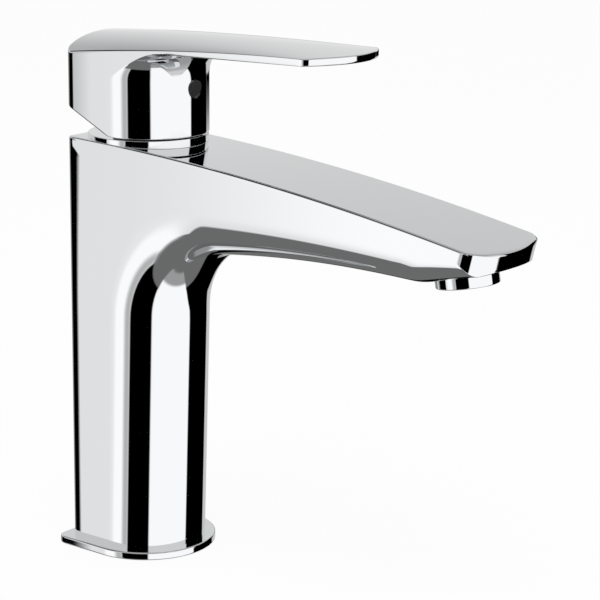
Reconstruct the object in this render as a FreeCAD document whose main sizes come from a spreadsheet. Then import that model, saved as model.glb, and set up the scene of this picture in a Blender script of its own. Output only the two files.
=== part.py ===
import FreeCAD, Part
import math
import os
import re

import Sketcher
from FreeCAD import Placement, Rotation, Vector

# A single-lever basin mixer: a flat-backed column that bends into a long spout, with a lever over it.
# Origin on the cartridge axis where the foot meets the deck, +Z up, the spout points to -Y.

DIMENSIONS = {
    # column and spout
    "body_width": 45.0,
    "tip_width": 42.6,
    "back_depth": 22.0,
    "foot_front": 20.7,
    "column_lean": 1.6,
    "back_round": 3.2,
    "body_height": 162.6,
    "spout_drop": 20.8,
    "spout_depth": 13.5,
    "spout_reach": 168.0,
    "top_radius": 1138.0,
    "tip_slope": 0.19,
    "tip_overrun": 3.0,
    "tip_depth": 5.8,
    "tip_bulge": 45.0,
    "tip_undercut": 14.0,
    "tip_cheek": 12.0,
    "tip_margin": 0.12,
    "cheek_round": 9.0,
    "chin_angle": 14.8,
    "chin_sweep": 30.0,
    "under_radius": 490.0,
    "apex_inset": 53.0,
    "bend_radius": 27.0,
    "nose_flat": 1.0,
    "root_round": 17.0,
    "belly_round": 11.3,
    "chin_round": 10.0,
    "tip_corner": 3.4,
    # foot, plate and gasket
    "plate_thickness": 3.0,
    "plate_margin": 4.2,
    "plate_corner": 4.2,
    "plate_edge": 0.6,
    "spigot_radius": 18.5,
    "seat_clearance": 0.15,
    "gasket_radius": 21.5,
    "gasket_width": 2.6,
    "gasket_height": 1.4,
    # threads in the foot
    "inlet_spacing": 15.0,
    "inlet_advance": 4.0,
    "inlet_thread_radius": 4.46,
    "inlet_thread_length": 14.0,
    "inlet_bore": 2.8,
    "stud_setback": 10.0,
    "stud_thread_radius": 3.35,
    "stud_thread_length": 18.0,
    # ring and nut over the cartridge
    "ring_radius": 23.0,
    "ring_wall": 2.95,
    "ring_stand": 1.3,
    "ring_edge": 0.4,
    "nut_radius": 19.3,
    "lid_thickness": 0.9,
    "nut_thread": 5.2,
    "nut_hex": 32.0,
    "nut_hex_height": 1.4,
    # cartridge, built down from its shoulder
    "pivot_drop": 2.4,
    "pivot_rise": 5.5,
    "cartridge_radius": 17.5,
    "housing_wall": 2.9,
    "housing_roof": 2.5,
    "neck_height": 9.2,
    "neck_wall": 2.3,
    "o_ring_section": 0.8,
    "o_ring_drop": 8.0,
    "running_gap": 0.3,
    "turning_clearance": 0.1,
    "turret_flange": 2.7,
    "turret_neck": 9.4,
    "turret_head": 1.5,
    "guide_width": 12.0,
    "guide_thickness": 2.4,
    "carrier_height": 6.5,
    "carrier_width": 19.8,
    "moving_disc_radius": 10.6,
    "mixing_radius": 6.5,
    "mixing_depth": 2.0,
    "mixing_offset": 1.0,
    "disc_thickness": 4.0,
    "disc_gap": 0.05,
    "outlet_port": 3.5,
    "outlet_setback": 6.5,
    "seal_wall": 1.3,
    "seal_height": 1.0,
    "base_thickness": 3.6,
    "base_standoff": 3.0,
    "stop_width": 2.7,
    "stop_turn": 50.0,
    "stop_lug": 4.0,
    "stop_play": 1.5,
    # waterway and aerator
    "channel_radius": 2.6,
    "channel_rise": 3.0,
    "plenum_radius": 5.6,
    "plenum_height": 4.6,
    "aerator_inset": 20.3,
    "aerator_tilt": 9.5,
    "aerator_drop": 3.95,
    "collar_radius": 11.4,
    "collar_height": 6.0,
    "collar_edge": 0.8,
    "thread_radius": 9.9,
    "thread_height": 3.6,
    "collar_bore": 8.3,
    "collar_lip": 0.8,
    "lip_width": 0.9,
    "insert_height": 4.4,
    "cell_radius": 0.85,
    "cell_pitch": 2.6,
    "strainer_rise": 2.8,
    "strainer_wall": 0.8,
    "washer_height": 1.2,
    "washer_wall": 3.4,
    # lever
    "handle_gap": 0.6,
    "hub_radius": 23.5,
    "paddle_rise": 33.5,
    "flare_radius": 11.0,
    "paddle_lift": 1.5,
    "lift_start": 36.0,
    "edge_back_rise": 29.9,
    "edge_tip_rise": 37.6,
    "edge_bow": 1.9,
    "crown_back": 6.7,
    "crown_tip": 0.5,
    "crown_overhang": 1.0,
    "lever_reach": 101.3,
    "lever_tip_width": 42.6,
    "taper_start": 2.0,
    "lever_tip_radius": 28.0,
    "lever_tip_corner": 5.0,
    "cavity_radius": 16.5,
    "cavity_height": 14.0,
    "boss_radius": 7.5,
    "boss_drop": 6.0,
    "relief_start": 0.3,
    "relief_angle": 25.5,
    # stem, pin and screw
    "stem_lean": 11.0,
    "stem_width": 8.0,
    "stem_arm": 14.0,
    "stem_root": 6.0,
    "stem_rise": 29.0,
    "stem_neck": 1.9,
    "stem_clearance": 0.1,
    "slot_clearance": 0.2,
    "slot_length": 12.8,
    "ball_radius": 2.8,
    "ball_clearance": 0.15,
    "pin_radius": 1.5,
    "pin_clearance": 0.05,
    "press_clearance": 0.02,
    "screw_rise": 25.0,
    "screw_radius": 2.5,
    "screw_length": 9.0,
    "screw_key": 1.25,
    "plug_radius": 3.5,
    "plug_length": 3.0,
}

doc = FreeCAD.newDocument("mixer_faucet")
dims = doc.addObject("Spreadsheet::Sheet", "dims")
for row, (alias, value) in enumerate(DIMENSIONS.items(), start=1):
    dims.set(f"A{row}", alias)
    dims.set(f"B{row}", str(value))
    dims.setAlias(f"B{row}", alias)
doc.recompute()

# Heights that follow from the sizes, from the deck up and then from the cartridge's pivot down
TIP_HEIGHT = "(body_height - spout_drop)"
UNDER_HEIGHT = f"({TIP_HEIGHT} - spout_depth)"
CHIN_HEIGHT = f"({TIP_HEIGHT} - tip_depth)"
RING_TOP = "(body_height + ring_stand)"
RIM = f"({RING_TOP} + handle_gap)"
PIVOT = f"({RING_TOP} - pivot_drop)"
SHOULDER = f"({PIVOT} - pivot_rise)"
NECK_TOP = f"({SHOULDER} + neck_height)"
ROOF = f"({SHOULDER} - housing_roof)"
FLANGE_TOP = f"({ROOF} - running_gap)"
FLANGE = f"({FLANGE_TOP} - turret_flange)"
CARRIER_TOP = f"({FLANGE} - running_gap)"
CARRIER_SEAT = f"({CARRIER_TOP} - carrier_height)"
SLIDE_FACE = f"({CARRIER_SEAT} - disc_thickness)"
FIXED_TOP = f"({SLIDE_FACE} - disc_gap)"
FIXED_SEAT = f"({FIXED_TOP} - disc_thickness)"
BASE_BOTTOM = f"({FIXED_SEAT} - base_thickness)"
POCKET_FLOOR = f"({BASE_BOTTOM} - base_standoff)"
POCKET_RADIUS = "(cartridge_radius + seat_clearance)"
NUT_TOP = f"({SHOULDER} + nut_thread + nut_hex_height)"
HOUSING_BORE = "(cartridge_radius - housing_wall)"
NECK_BORE = "(turret_neck + turning_clearance)"
NECK_RADIUS = f"({NECK_BORE} + neck_wall)"
REST_SHIFT = "(stem_arm * sin(stem_lean))"
AERATOR_OFFSET = "(spout_reach - aerator_inset)"
AERATOR_BOTTOM = f"({CHIN_HEIGHT} - aerator_inset * tan(chin_angle) - aerator_drop)"
COLLAR_TOP = "(collar_height + thread_height)"


def formula(text):
    """The same formula with every size read from the sheet."""
    return re.sub(r"\b[a-z]+(_[a-z]+)+\b", r"dims.\g<0>", text)


def size(text):
    """What a formula of the sheet's sizes comes to; angles in it are degrees."""
    return float(doc.dims.evalExpression(formula(text)))


def bind(thing, **formulas):
    """Tie properties of an object to formulas of the sheet."""
    for prop, text in formulas.items():
        thing.setExpression(prop.replace("__", "."), formula(text))
    return thing


def arc_between(start, end, radius, side):
    """The shallow arc from start to end that bulges to one side of the way: 1 for right, -1 for left."""
    chord = end - start
    middle = (start + end) * 0.5
    outward = Vector(chord.y, -chord.x, 0).normalize() * side
    bow = radius - math.sqrt(radius ** 2 - (chord.Length / 2) ** 2)
    return Part.Arc(start, middle + outward * bow, end)


def outline(body, role, corners, arcs):
    """A closed sketch on one of the body's planes, whose corners and arc radii are formulas.

    A corner given as a Vector is free: its two edges are tangent there. An arc is (radius, side)."""
    plane = next(feature for feature in body.Origin.OriginFeatures if feature.Role == role)
    sketch = body.newObject("Sketcher::SketchObject", body.Label + "_outline")
    sketch.AttachmentSupport = [(plane, "")]
    sketch.MapMode = "FlatFace"
    spots = []
    for corner in corners:
        spots.append(corner if isinstance(corner, Vector) else Vector(size(corner[0]), size(corner[1]), 0))
    ends = []
    for index, spot in enumerate(spots):
        following = spots[(index + 1) % len(spots)]
        edge = Part.LineSegment(spot, following)
        if index in arcs:
            radius, side = arcs[index]
            edge = arc_between(spot, following, size(radius), side)
        drawn = sketch.addGeometry(edge, False)
        backward = (sketch.getPoint(drawn, 1) - spot).Length > (sketch.getPoint(drawn, 2) - spot).Length
        ends.append((2, 1) if backward else (1, 2))
    for index, corner in enumerate(corners):
        meeting = (index - 1, ends[index - 1][1], index, ends[index][0])
        if index == 0:
            meeting = (len(corners) - 1, ends[-1][1], 0, ends[0][0])
        kind = "Tangent" if isinstance(corner, Vector) else "Coincident"
        sketch.addConstraint(Sketcher.Constraint(kind, *meeting))
    for index, corner in enumerate(corners):
        if isinstance(corner, Vector):
            continue
        for kind, text, axis, value in zip(("DistanceX", "DistanceY"), corner, (-2, -1), spots[index]):
            if text == "0":
                sketch.addConstraint(Sketcher.Constraint("PointOnObject", index, ends[index][0], axis))
            else:
                constrain(sketch, text, kind, index, ends[index][0], value)
    for index, (radius, side) in arcs.items():
        constrain(sketch, radius, "Radius", index, size(radius))
    return sketch


def constrain(sketch, text, *measure):
    """Add a measured constraint that follows a formula."""
    number = sketch.addConstraint(Sketcher.Constraint(*measure))
    sketch.setExpression(f"Constraints[{number}]", formula(text))


def turned(name, corners):
    """A body of revolution about Z from corners given as (radius, height)."""
    body = doc.addObject("PartDesign::Body", name)
    sketch = outline(body, "XZ_Plane", corners, {})
    revolution = body.newObject("PartDesign::Revolution", name + "_turned")
    revolution.Profile = sketch
    revolution.ReferenceAxis = (sketch, ["V_Axis"])
    revolution.Angle = 360
    return body


def padded(name, role, corners, length, midplane=False, arcs=None):
    """A body pushed out from an outline on one of its planes."""
    body = doc.addObject("PartDesign::Body", name)
    pad = body.newObject("PartDesign::Pad", name + "_pad")
    pad.Profile = outline(body, role, corners, arcs or {})
    pad.SideType = "Symmetric" if midplane else "One side"
    bind(pad, Length=length)
    return body


def cylinder(name, radius, height, bottom, across="0", along="0"):
    """An upright cylinder from bottom up, with its axis at (across, along)."""
    piece = doc.addObject("Part::Cylinder", name)
    return bind(piece, Radius=radius, Height=height, Placement__Base__x=across, Placement__Base__y=along,
                Placement__Base__z=bottom)


def box(name, width, depth, height, bottom, along="0", across="0"):
    """A box centred on (across, along), from bottom up."""
    piece = doc.addObject("Part::Box", name)
    return bind(piece, Length=width, Width=depth, Height=height, Placement__Base__x=f"{across} - ({width}) / 2",
                Placement__Base__y=f"{along} - ({depth}) / 2", Placement__Base__z=bottom)


def ring(name, outer, wall, height, bottom, across="0", along="0"):
    """A plain ring with a square section."""
    hole = cylinder(name + "_hole", f"{outer} - {wall}", height, bottom, across, along)
    return cut(name, cylinder(name + "_disc", outer, height, bottom, across, along), [hole])


def cut(name, base, tools):
    """The base without its tools."""
    tool = tools[0] if len(tools) == 1 else fuse(name + "_tools", tools)
    piece = doc.addObject("Part::Cut", name)
    piece.Base = base
    piece.Tool = tool
    return piece


def fuse(name, pieces):
    """Several solids as one."""
    piece = doc.addObject("Part::MultiFuse", name)
    piece.Shapes = pieces
    piece.Refine = True
    return piece


def common(name, pieces):
    """What several solids share."""
    piece = doc.addObject("Part::MultiCommon", name)
    piece.Shapes = pieces
    return piece


def group(name, pieces):
    """Separate solids that are one node."""
    piece = doc.addObject("Part::Compound", name)
    piece.Links = pieces
    return piece


def rounded(name, base, edges):
    """The base with round edges, each given as (number, radius at its start, radius at its end)."""
    piece = doc.addObject("Part::Fillet", name)
    piece.Base = base
    piece.Edges = edges
    return piece


def edges_where(shape, test):
    """Numbers of the edges whose corners and middle all pass the test."""
    numbers = []
    for number, edge in enumerate(shape.Edges, start=1):
        middle = edge.valueAt((edge.FirstParameter + edge.LastParameter) / 2)
        points = [vertex.Point for vertex in edge.Vertexes] + [middle]
        if all(test(point) for point in points):
            numbers.append(number)
    return numbers


def tilted(piece, along, height, angle):
    """Put the origin of an upright piece at (0, along, height) and tilt its top towards -Y by an angle."""
    place = Vector(0, size(along), size(height))
    piece.Placement = Placement(place, Rotation(Vector(1, 0, 0), size(angle)))
    return piece


def crosswise(name, radius, length, height):
    """A cylinder along X, centred over the origin."""
    piece = bind(doc.addObject("Part::Cylinder", name), Radius=radius, Height=length)
    piece.Placement = Placement(Vector(-size(length) / 2, 0, size(height)), Rotation(Vector(0, 1, 0), 90))
    return piece


def frontward(name, radius, length, start, height):
    """A cylinder that runs to -Y from a start distance in front of the axis."""
    piece = bind(doc.addObject("Part::Cylinder", name), Radius=radius, Height=length)
    piece.Placement = Placement(Vector(0, -size(start), size(height)), Rotation(Vector(1, 0, 0), 90))
    return piece


def soften(body, radius, test):
    """Round the edges of a body that pass a test of their points."""
    doc.recompute()
    base = body.Tip
    names = [f"Edge{number}" for number in edges_where(base.Shape, test)]
    fillet = body.newObject("PartDesign::Fillet", body.Label + "_round")
    fillet.Base = (base, names)
    bind(fillet, Radius=radius)
    body.Tip = fillet


# Body: one casting. The side profile and the tapered plan are cut from one block, then the edges of the inner
# line are rounded, nearly to a half circle on the column and less and less towards the thin tip.
TOLERANCE = 0.02
RIGHT = 1
LEFT = -1
ARCH_CENTRE = ("apex_inset - spout_reach", f"{UNDER_HEIGHT} - under_radius")


def inner_tangents():
    """Where the bend meets the column's front and the arched underside of the spout, in the side view."""
    lean = math.radians(size("column_lean"))
    upward = Vector(-math.sin(lean), math.cos(lean), 0)
    forward = Vector(-math.cos(lean), -math.sin(lean), 0)
    foot = Vector(-size("foot_front"), size("plate_thickness"), 0)
    bend = size("bend_radius")
    arch = size("under_radius")
    arch_centre = Vector(size(ARCH_CENTRE[0]), size(ARCH_CENTRE[1]), 0)
    offset = foot + forward * bend - arch_centre
    along = offset.dot(upward)
    rise = -along + math.sqrt(along ** 2 - offset.Length ** 2 + (arch - bend) ** 2)
    leaving = (offset + upward * rise).normalize()
    return foot + upward * rise, arch_centre + leaving * arch


def chin_tangents():
    """Where the sweep below the tip meets the arched underside and the straight chin, in the side view."""
    angle = math.radians(size("chin_angle"))
    ahead = Vector(-math.cos(angle), math.sin(angle), 0)
    inward = Vector(math.sin(angle), math.cos(angle), 0)
    sweep = size("chin_sweep")
    arch = size("under_radius")
    arch_centre = Vector(size(ARCH_CENTRE[0]), size(ARCH_CENTRE[1]), 0)
    offset = Vector(-size("spout_reach"), size(CHIN_HEIGHT), 0) + inward * sweep - arch_centre
    along = offset.dot(ahead)
    advance = -along + math.sqrt(along ** 2 - offset.Length ** 2 + (arch + sweep) ** 2)
    leaving = offset + ahead * advance
    chin = arch_centre + leaving - inward * sweep
    return arch_centre + leaving.normalize() * arch, chin


column_end, spout_root = inner_tangents()
arch_end, chin_start = chin_tangents()
spout_end = "-(spout_reach + tip_overrun)"
chin_end = f"{CHIN_HEIGHT} + tip_overrun * tan(chin_angle)"
body_profile = padded("body_profile", "YZ_Plane", [
    ("back_depth", "plate_thickness"),
    ("back_depth", "body_height"),
    (spout_end, f"{TIP_HEIGHT} - tip_overrun * tip_slope"),
    (spout_end, chin_end),
    chin_start,
    arch_end,
    spout_root,
    column_end,
    ("-foot_front", "plate_thickness"),
], "2 * body_width", midplane=True, arcs={
    1: ("top_radius", RIGHT),
    4: ("chin_sweep", RIGHT),
    5: ("under_radius", LEFT),
    6: ("bend_radius", LEFT),
})
side_view = doc.body_profile_outline
for kind, place in zip(("DistanceX", "DistanceY"), ARCH_CENTRE):
    constrain(side_view, place, kind, 5, 3, size(place))
for line, slope in ((3, "-chin_angle"), (7, "column_lean - 90")):
    constrain(side_view, slope, "Angle", line, math.radians(size(slope)))
end_half = "(tip_width / 2 - (body_width - tip_width) / 2 * tip_overrun / (spout_reach + back_depth))"
body_plan = padded("body_plan", "XY_Plane", [
    ("-body_width / 2", "back_depth"),
    (f"-{end_half}", spout_end),
    (end_half, spout_end),
    ("body_width / 2", "back_depth"),
], "2 * body_height")
body_block = common("body_block", [body_profile, body_plan])
doc.recompute()


def inner_radius(point):
    """Corner radius of the inner line's edges at one of their ends."""
    radius = "body_width / 2 - nose_flat"
    for start, following in (
        (column_end, "root_round"),
        (spout_root, "belly_round"),
        (arch_end, "chin_round"),
        (chin_start, "tip_corner"),
    ):
        if point.y < start.x - TOLERANCE:
            radius = following
    return size(radius)


def on_inner_line(point):
    """Whether a point lies on the front of the column or the underside of the spout, at one side."""
    on_side = abs(point.x) > min(size(end_half), size("body_width") / 2) - TOLERANCE
    low = point.z < size(chin_end) + TOLERANCE
    return on_side and low and point.y < -size("foot_front") + TOLERANCE


def radii_along(shape, numbers):
    """The edges of one side with their radii, in the direction of the first edge."""
    first = [vertex.Point.y for vertex in shape.Edges[numbers[0] - 1].Vertexes]
    edges = []
    for number in numbers:
        ends = sorted((vertex.Point for vertex in shape.Edges[number - 1].Vertexes), key=lambda point: point.y)
        if first[0] > first[-1]:
            ends.reverse()
        edges.append((number, inner_radius(ends[0]), inner_radius(ends[1])))
    return edges


inner_edges = []
for sign in (-1, 1):
    chain = edges_where(body_block.Shape, lambda point: on_inner_line(point) and point.x * sign > 0)
    inner_edges += radii_along(body_block.Shape, chain)
body_smooth = rounded("body_smooth", body_block, inner_edges)

# The tip's front bulges in plan, has round cheeks and is undercut, so the form that trims it leans forward.
CHEEK_HALF = "(tip_width / 2 + tip_margin)"
FRONT_BOW = f"(tip_bulge - sqrt(tip_bulge ^ 2 - {CHEEK_HALF} ^ 2))"
FORM_BACK = "(spout_reach + 2 * back_depth)"
tip_form = padded("tip_form", "XY_Plane", [
    ("-body_width", FORM_BACK),
    ("-body_width", "tip_cheek"),
    (f"-{CHEEK_HALF}", "tip_cheek"),
    (f"-{CHEEK_HALF}", FRONT_BOW),
    (CHEEK_HALF, FRONT_BOW),
    (CHEEK_HALF, "tip_cheek"),
    ("body_width", "tip_cheek"),
    ("body_width", FORM_BACK),
], "4 * body_height", midplane=True, arcs={3: ("tip_bulge", RIGHT)})
soften(tip_form, "cheek_round", lambda point: point.y < size(FRONT_BOW) + TOLERANCE and point.x != 0)
tilted(tip_form, "-spout_reach", TIP_HEIGHT, "tip_undercut")
body_trimmed = common("body_trimmed", [body_smooth, tip_form])
doc.recompute()


def on_back_corner(point):
    """Whether a point lies on one of the two upright edges at the back."""
    return abs(point.y - size("back_depth")) < TOLERANCE and abs(point.x) > size("body_width") / 2 - TOLERANCE


back_edges = edges_where(body_trimmed.Shape, on_back_corner)
body_outer = rounded("body_outer", body_trimmed, [
    (number, size("back_round"), size("back_round")) for number in back_edges
])
foot_spigot = cylinder("foot_spigot", "spigot_radius", "2 * plate_thickness", "0")
casting = fuse("casting", [body_outer, foot_spigot])

# Hollows of the body: the cartridge pocket with the thread of the nut, the threads and waterways in the foot,
# the channel through the spout and the stepped seat of the aerator.
waterways = [
    cylinder("pocket", POCKET_RADIUS, f"{SHOULDER} - {POCKET_FLOOR}", POCKET_FLOOR),
    cylinder("nut_mouth", "nut_radius + seat_clearance", "body_height", SHOULDER),
    cylinder("stud_thread", "stud_thread_radius", "stud_thread_length", "0", "0", "stud_setback"),
]
INLETS = (("left", "-inlet_spacing / 2"), ("right", "inlet_spacing / 2"))
for side, across in INLETS:
    place = ("0", across, "-inlet_advance")
    waterways.append(cylinder(f"{side}_thread", "inlet_thread_radius", "inlet_thread_length", *place))
    waterways.append(cylinder(f"{side}_bore", "inlet_bore", f"{POCKET_FLOOR} + seal_height", *place))
CHAMBER_TOP = f"({COLLAR_TOP} + washer_height)"
PLENUM_TOP = f"({CHAMBER_TOP} + plenum_height)"
aerator_seat = fuse("aerator_seat", [
    cylinder("collar_recess", "collar_radius + seat_clearance", "collar_height + press_clearance", "0"),
    cylinder("chamber", "thread_radius + seat_clearance", CHAMBER_TOP, "0"),
    cylinder("plenum", "plenum_radius", PLENUM_TOP, "0"),
])
AERATOR_PLACE = (f"-{AERATOR_OFFSET}", AERATOR_BOTTOM, "-aerator_tilt")
tilted(aerator_seat, *AERATOR_PLACE)
channel_start = Vector(0, -size("cartridge_radius / 2"), size(f"{POCKET_FLOOR} + channel_rise"))
channel_end = aerator_seat.Placement.multVec(Vector(0, 0, size(f"{PLENUM_TOP} - channel_radius")))
channel = bind(doc.addObject("Part::Cylinder", "channel"), Radius="channel_radius")
channel.Height = (channel_end - channel_start).Length
channel.Placement = Placement(channel_start, Rotation(Vector(0, 0, 1), channel_end - channel_start))
body = cut("body", casting, waterways + [aerator_seat, channel])

# Base plate: a D-shaped plate round the foot, with a groove below for its gasket.
PLATE_HALF = "(body_width / 2 + plate_margin)"
plate_blank = padded("plate_blank", "XY_Plane", [
    (f"-{PLATE_HALF}", "back_depth + plate_margin"),
    (f"-{PLATE_HALF}", "-(foot_front + plate_margin)"),
    (PLATE_HALF, "-(foot_front + plate_margin)"),
    (PLATE_HALF, "back_depth + plate_margin"),
], "plate_thickness")


def at_plate_corner(point, front):
    """Whether a point lies on an upright edge of the plate, at its front or at its back."""
    at_front = point.y < -size("foot_front")
    at_back = point.y > size("back_depth")
    return abs(point.x) > size(PLATE_HALF) - TOLERANCE and (at_front if front else at_back)


soften(plate_blank, f"{PLATE_HALF} - running_gap", lambda point: at_plate_corner(point, True))
soften(plate_blank, "plate_corner", lambda point: at_plate_corner(point, False))
soften(plate_blank, "plate_edge", lambda point: point.z > size("plate_thickness") - TOLERANCE)
GASKET_OUTER = "(gasket_radius + gasket_width / 2)"
base_plate = cut("base_plate", plate_blank, [
    cylinder("plate_hole", "spigot_radius + seat_clearance", "2 * plate_thickness", "-plate_thickness / 2"),
    ring("gasket_groove", f"({GASKET_OUTER} + seat_clearance)", "(gasket_width + 2 * seat_clearance)",
         "gasket_height + seat_clearance", "0"),
])
base_gasket = ring("base_gasket", GASKET_OUTER, "gasket_width", "gasket_height", "0")

# Cap ring over the mouth of the body, cut below to the slope of the body's top. Its lid hides the nut.
RING_BORE = "(ring_radius - ring_wall)"
LID_BORE = f"({NECK_RADIUS} + running_gap)"
ring_blank = turned("ring_blank", [
    (RING_BORE, SHOULDER),
    ("ring_radius", SHOULDER),
    ("ring_radius", f"{RING_TOP} - ring_edge"),
    ("ring_radius - ring_edge", RING_TOP),
    (LID_BORE, RING_TOP),
    (LID_BORE, f"{RING_TOP} - lid_thickness"),
    (RING_BORE, f"{RING_TOP} - lid_thickness"),
])
ring_back = box("ring_back", "2 * ring_radius", "2 * ring_radius", "body_height", "0",
                "back_depth + ring_radius")
cap_ring = cut("cap_ring", ring_blank, [body_profile, ring_back])

# Retaining nut: a threaded ring with a hexagon on top, which presses on the shoulder of the cartridge.
nut_hexagon = bind(doc.addObject("Part::Prism", "nut_hexagon"), Circumradius="nut_hex / sqrt(3)",
                   Height=f"{NUT_TOP} - {SHOULDER}", Placement__Base__z=SHOULDER)
nut_hexagon.Polygon = 6
retaining_nut = cut("retaining_nut", fuse("nut_blank", [
    cylinder("nut_thread_ring", "nut_radius", "nut_thread", SHOULDER),
    nut_hexagon,
]), [cylinder("nut_bore", LID_BORE, "body_height", POCKET_FLOOR)])

# Cartridge shell: the housing with its neck and O-ring, and the base with two inlet spigots on rubber seals.
GROOVE = f"({SHOULDER} - o_ring_drop)"
GROOVE_HALF = "(o_ring_section + running_gap / 2)"
cartridge_housing = turned("cartridge_housing", [
    (HOUSING_BORE, FIXED_SEAT),
    ("cartridge_radius", FIXED_SEAT),
    ("cartridge_radius", f"{GROOVE} - {GROOVE_HALF}"),
    ("cartridge_radius - 2 * o_ring_section", f"{GROOVE} - {GROOVE_HALF}"),
    ("cartridge_radius - 2 * o_ring_section", f"{GROOVE} + {GROOVE_HALF}"),
    ("cartridge_radius", f"{GROOVE} + {GROOVE_HALF}"),
    ("cartridge_radius", SHOULDER),
    (NECK_RADIUS, SHOULDER),
    (NECK_RADIUS, NECK_TOP),
    (NECK_BORE, NECK_TOP),
    (NECK_BORE, ROOF),
    (HOUSING_BORE, ROOF),
])
cartridge_o_ring = bind(doc.addObject("Part::Torus", "cartridge_o_ring"), Radius2="o_ring_section",
                        Radius1=f"{POCKET_RADIUS} - press_clearance - o_ring_section",
                        Placement__Base__z=GROOVE)
SEAL_SEAT = f"({FIXED_SEAT} - seal_height)"
BASE_REACH = f"({FIXED_SEAT} - {POCKET_FLOOR})"
OUTLET = ("outlet_port", "0", "outlet_setback")
PORTS = [("inlet_bore", across, "-inlet_advance") for side, across in INLETS] + [OUTLET]
base_blank = [cylinder("base_disc", "cartridge_radius", "base_thickness", BASE_BOTTOM)]
base_holes = []
fixed_holes = []
inlet_rings = []
disc_rings = []
for number, (radius, across, along) in enumerate(PORTS, start=1):
    outer = f"({radius} + seal_wall)"
    spot = (across, along)
    base_holes.append(cylinder(f"base_port_{number}", radius, BASE_REACH, POCKET_FLOOR, *spot))
    base_holes.append(cylinder(f"seal_seat_{number}", outer, "seal_height", SEAL_SEAT, *spot))
    fixed_holes.append(cylinder(f"disc_port_{number}", radius, "disc_thickness", FIXED_SEAT, *spot))
    disc_rings.append(ring(f"disc_seal_{number}", outer, "seal_wall", "seal_height", SEAL_SEAT, *spot))
    if radius == "inlet_bore":
        base_blank.append(cylinder(f"spigot_{number}", outer, "base_standoff - seal_height",
                                   f"{POCKET_FLOOR} + seal_height", *spot))
        inlet_rings.append(ring(f"inlet_seal_{number}", outer, "seal_wall", "seal_height", POCKET_FLOOR, *spot))
cartridge_base = cut("cartridge_base", fuse("base_blank", base_blank), base_holes)
inlet_seals = group("inlet_seals", inlet_rings)
disc_seals = group("disc_seals", disc_rings)

# Ceramic discs: the fixed one has the ports, the moving one slides over it with a mixing hollow in its face.
fixed_blank = cylinder("fixed_blank", f"{HOUSING_BORE} - seat_clearance", "disc_thickness", FIXED_SEAT)
fixed_disc = cut("fixed_disc", fixed_blank, fixed_holes)
moving_blank = cylinder("moving_blank", "moving_disc_radius", "disc_thickness", SLIDE_FACE, "0", REST_SHIFT)
moving_disc = cut("moving_disc", moving_blank, [
    cylinder("mixing_hollow", "mixing_radius", "mixing_depth", SLIDE_FACE, "0",
             f"{REST_SHIFT} + mixing_offset"),
])
BALL_LOW = f"({PIVOT} - stem_arm - ball_radius - running_gap)"
carrier_blank = common("carrier_blank", [
    cylinder("carrier_round", "moving_disc_radius", "carrier_height", CARRIER_SEAT, "0", REST_SHIFT),
    box("carrier_flats", "carrier_width", "4 * moving_disc_radius", "carrier_height", CARRIER_SEAT, REST_SHIFT),
])
disc_carrier = cut("disc_carrier", carrier_blank, [
    box("ball_socket", "2 * (ball_radius + slot_clearance)", "2 * (ball_radius + ball_clearance)",
        "2 * carrier_height", BALL_LOW, REST_SHIFT),
])

# Turret: turns in the neck of the housing, guides the carrier between two rails and holds the pivot pin.
HEAD = f"({NECK_TOP} + running_gap)"
HEAD_TOP = f"({HEAD} + turret_head)"
turret_core = turned("turret_core", [
    ("0", FLANGE),
    (f"{HOUSING_BORE} - running_gap", FLANGE),
    (f"{HOUSING_BORE} - running_gap", FLANGE_TOP),
    ("turret_neck", FLANGE_TOP),
    ("turret_neck", HEAD),
    (f"{NECK_RADIUS} - running_gap", HEAD),
    (f"{NECK_RADIUS} - running_gap", HEAD_TOP),
    ("0", HEAD_TOP),
])
STOP_REACH = f"({NECK_RADIUS} + stop_width)"
RAIL_OFFSET = "(carrier_width / 2 + running_gap + guide_thickness / 2)"
RAIL_BOTTOM = f"({CARRIER_SEAT} + running_gap)"
turret_solids = [turret_core]
for side, sign in (("left", "-"), ("right", "")):
    turret_solids.append(box(f"{side}_rail", "guide_thickness", "guide_width", f"{FLANGE_TOP} - {RAIL_BOTTOM}",
                             RAIL_BOTTOM, across=f"{sign}{RAIL_OFFSET}"))
turret_solids.append(box("stop_tab", "stop_lug", f"({STOP_REACH} - running_gap) / 2", "turret_head", HEAD,
                         f"({STOP_REACH} - running_gap) * 3 / 4"))
turret = cut("turret", fuse("turret_blank", turret_solids), [
    box("stem_slot", "stem_width + 2 * slot_clearance", "slot_length", "body_height", POCKET_FLOOR),
    crosswise("turret_pin_hole", "pin_radius + press_clearance", "4 * turret_neck", PIVOT),
])
pivot_pin = crosswise("pivot_pin", "pin_radius", "2 * (turret_neck - running_gap)", PIVOT)

# Stop ring: pressed on the neck of the housing; its two lugs end the turn of the turret's tab.
LUG_TURN = f"(stop_turn + 2 * asin(stop_lug / 2 / {NECK_RADIUS}) / (1 deg) + stop_play)"
RING_SEAT = f"({NECK_RADIUS} + press_clearance)"
STOP_SEAT = f"({RING_TOP} + press_clearance)"
STOP_WALL = f"({STOP_REACH} - {RING_SEAT})"
stop_solids = [ring("stop_hoop", STOP_REACH, STOP_WALL, f"{NECK_TOP} - {STOP_SEAT}", STOP_SEAT)]
for side, sign in (("left", 1), ("right", -1)):
    lug = common(f"{side}_lug", [
        box(f"{side}_lug_block", "stop_lug", STOP_REACH, f"{HEAD_TOP} - {STOP_SEAT}", STOP_SEAT,
            f"{STOP_REACH} / 2"),
        ring(f"{side}_lug_space", STOP_REACH, STOP_WALL, "body_height", SHOULDER),
    ])
    lug.Placement = Placement(Vector(0, 0, 0), Rotation(Vector(0, 0, 1), sign * size(LUG_TURN)))
    stop_solids.append(lug)
stop_ring = fuse("stop_ring", stop_solids)

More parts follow.
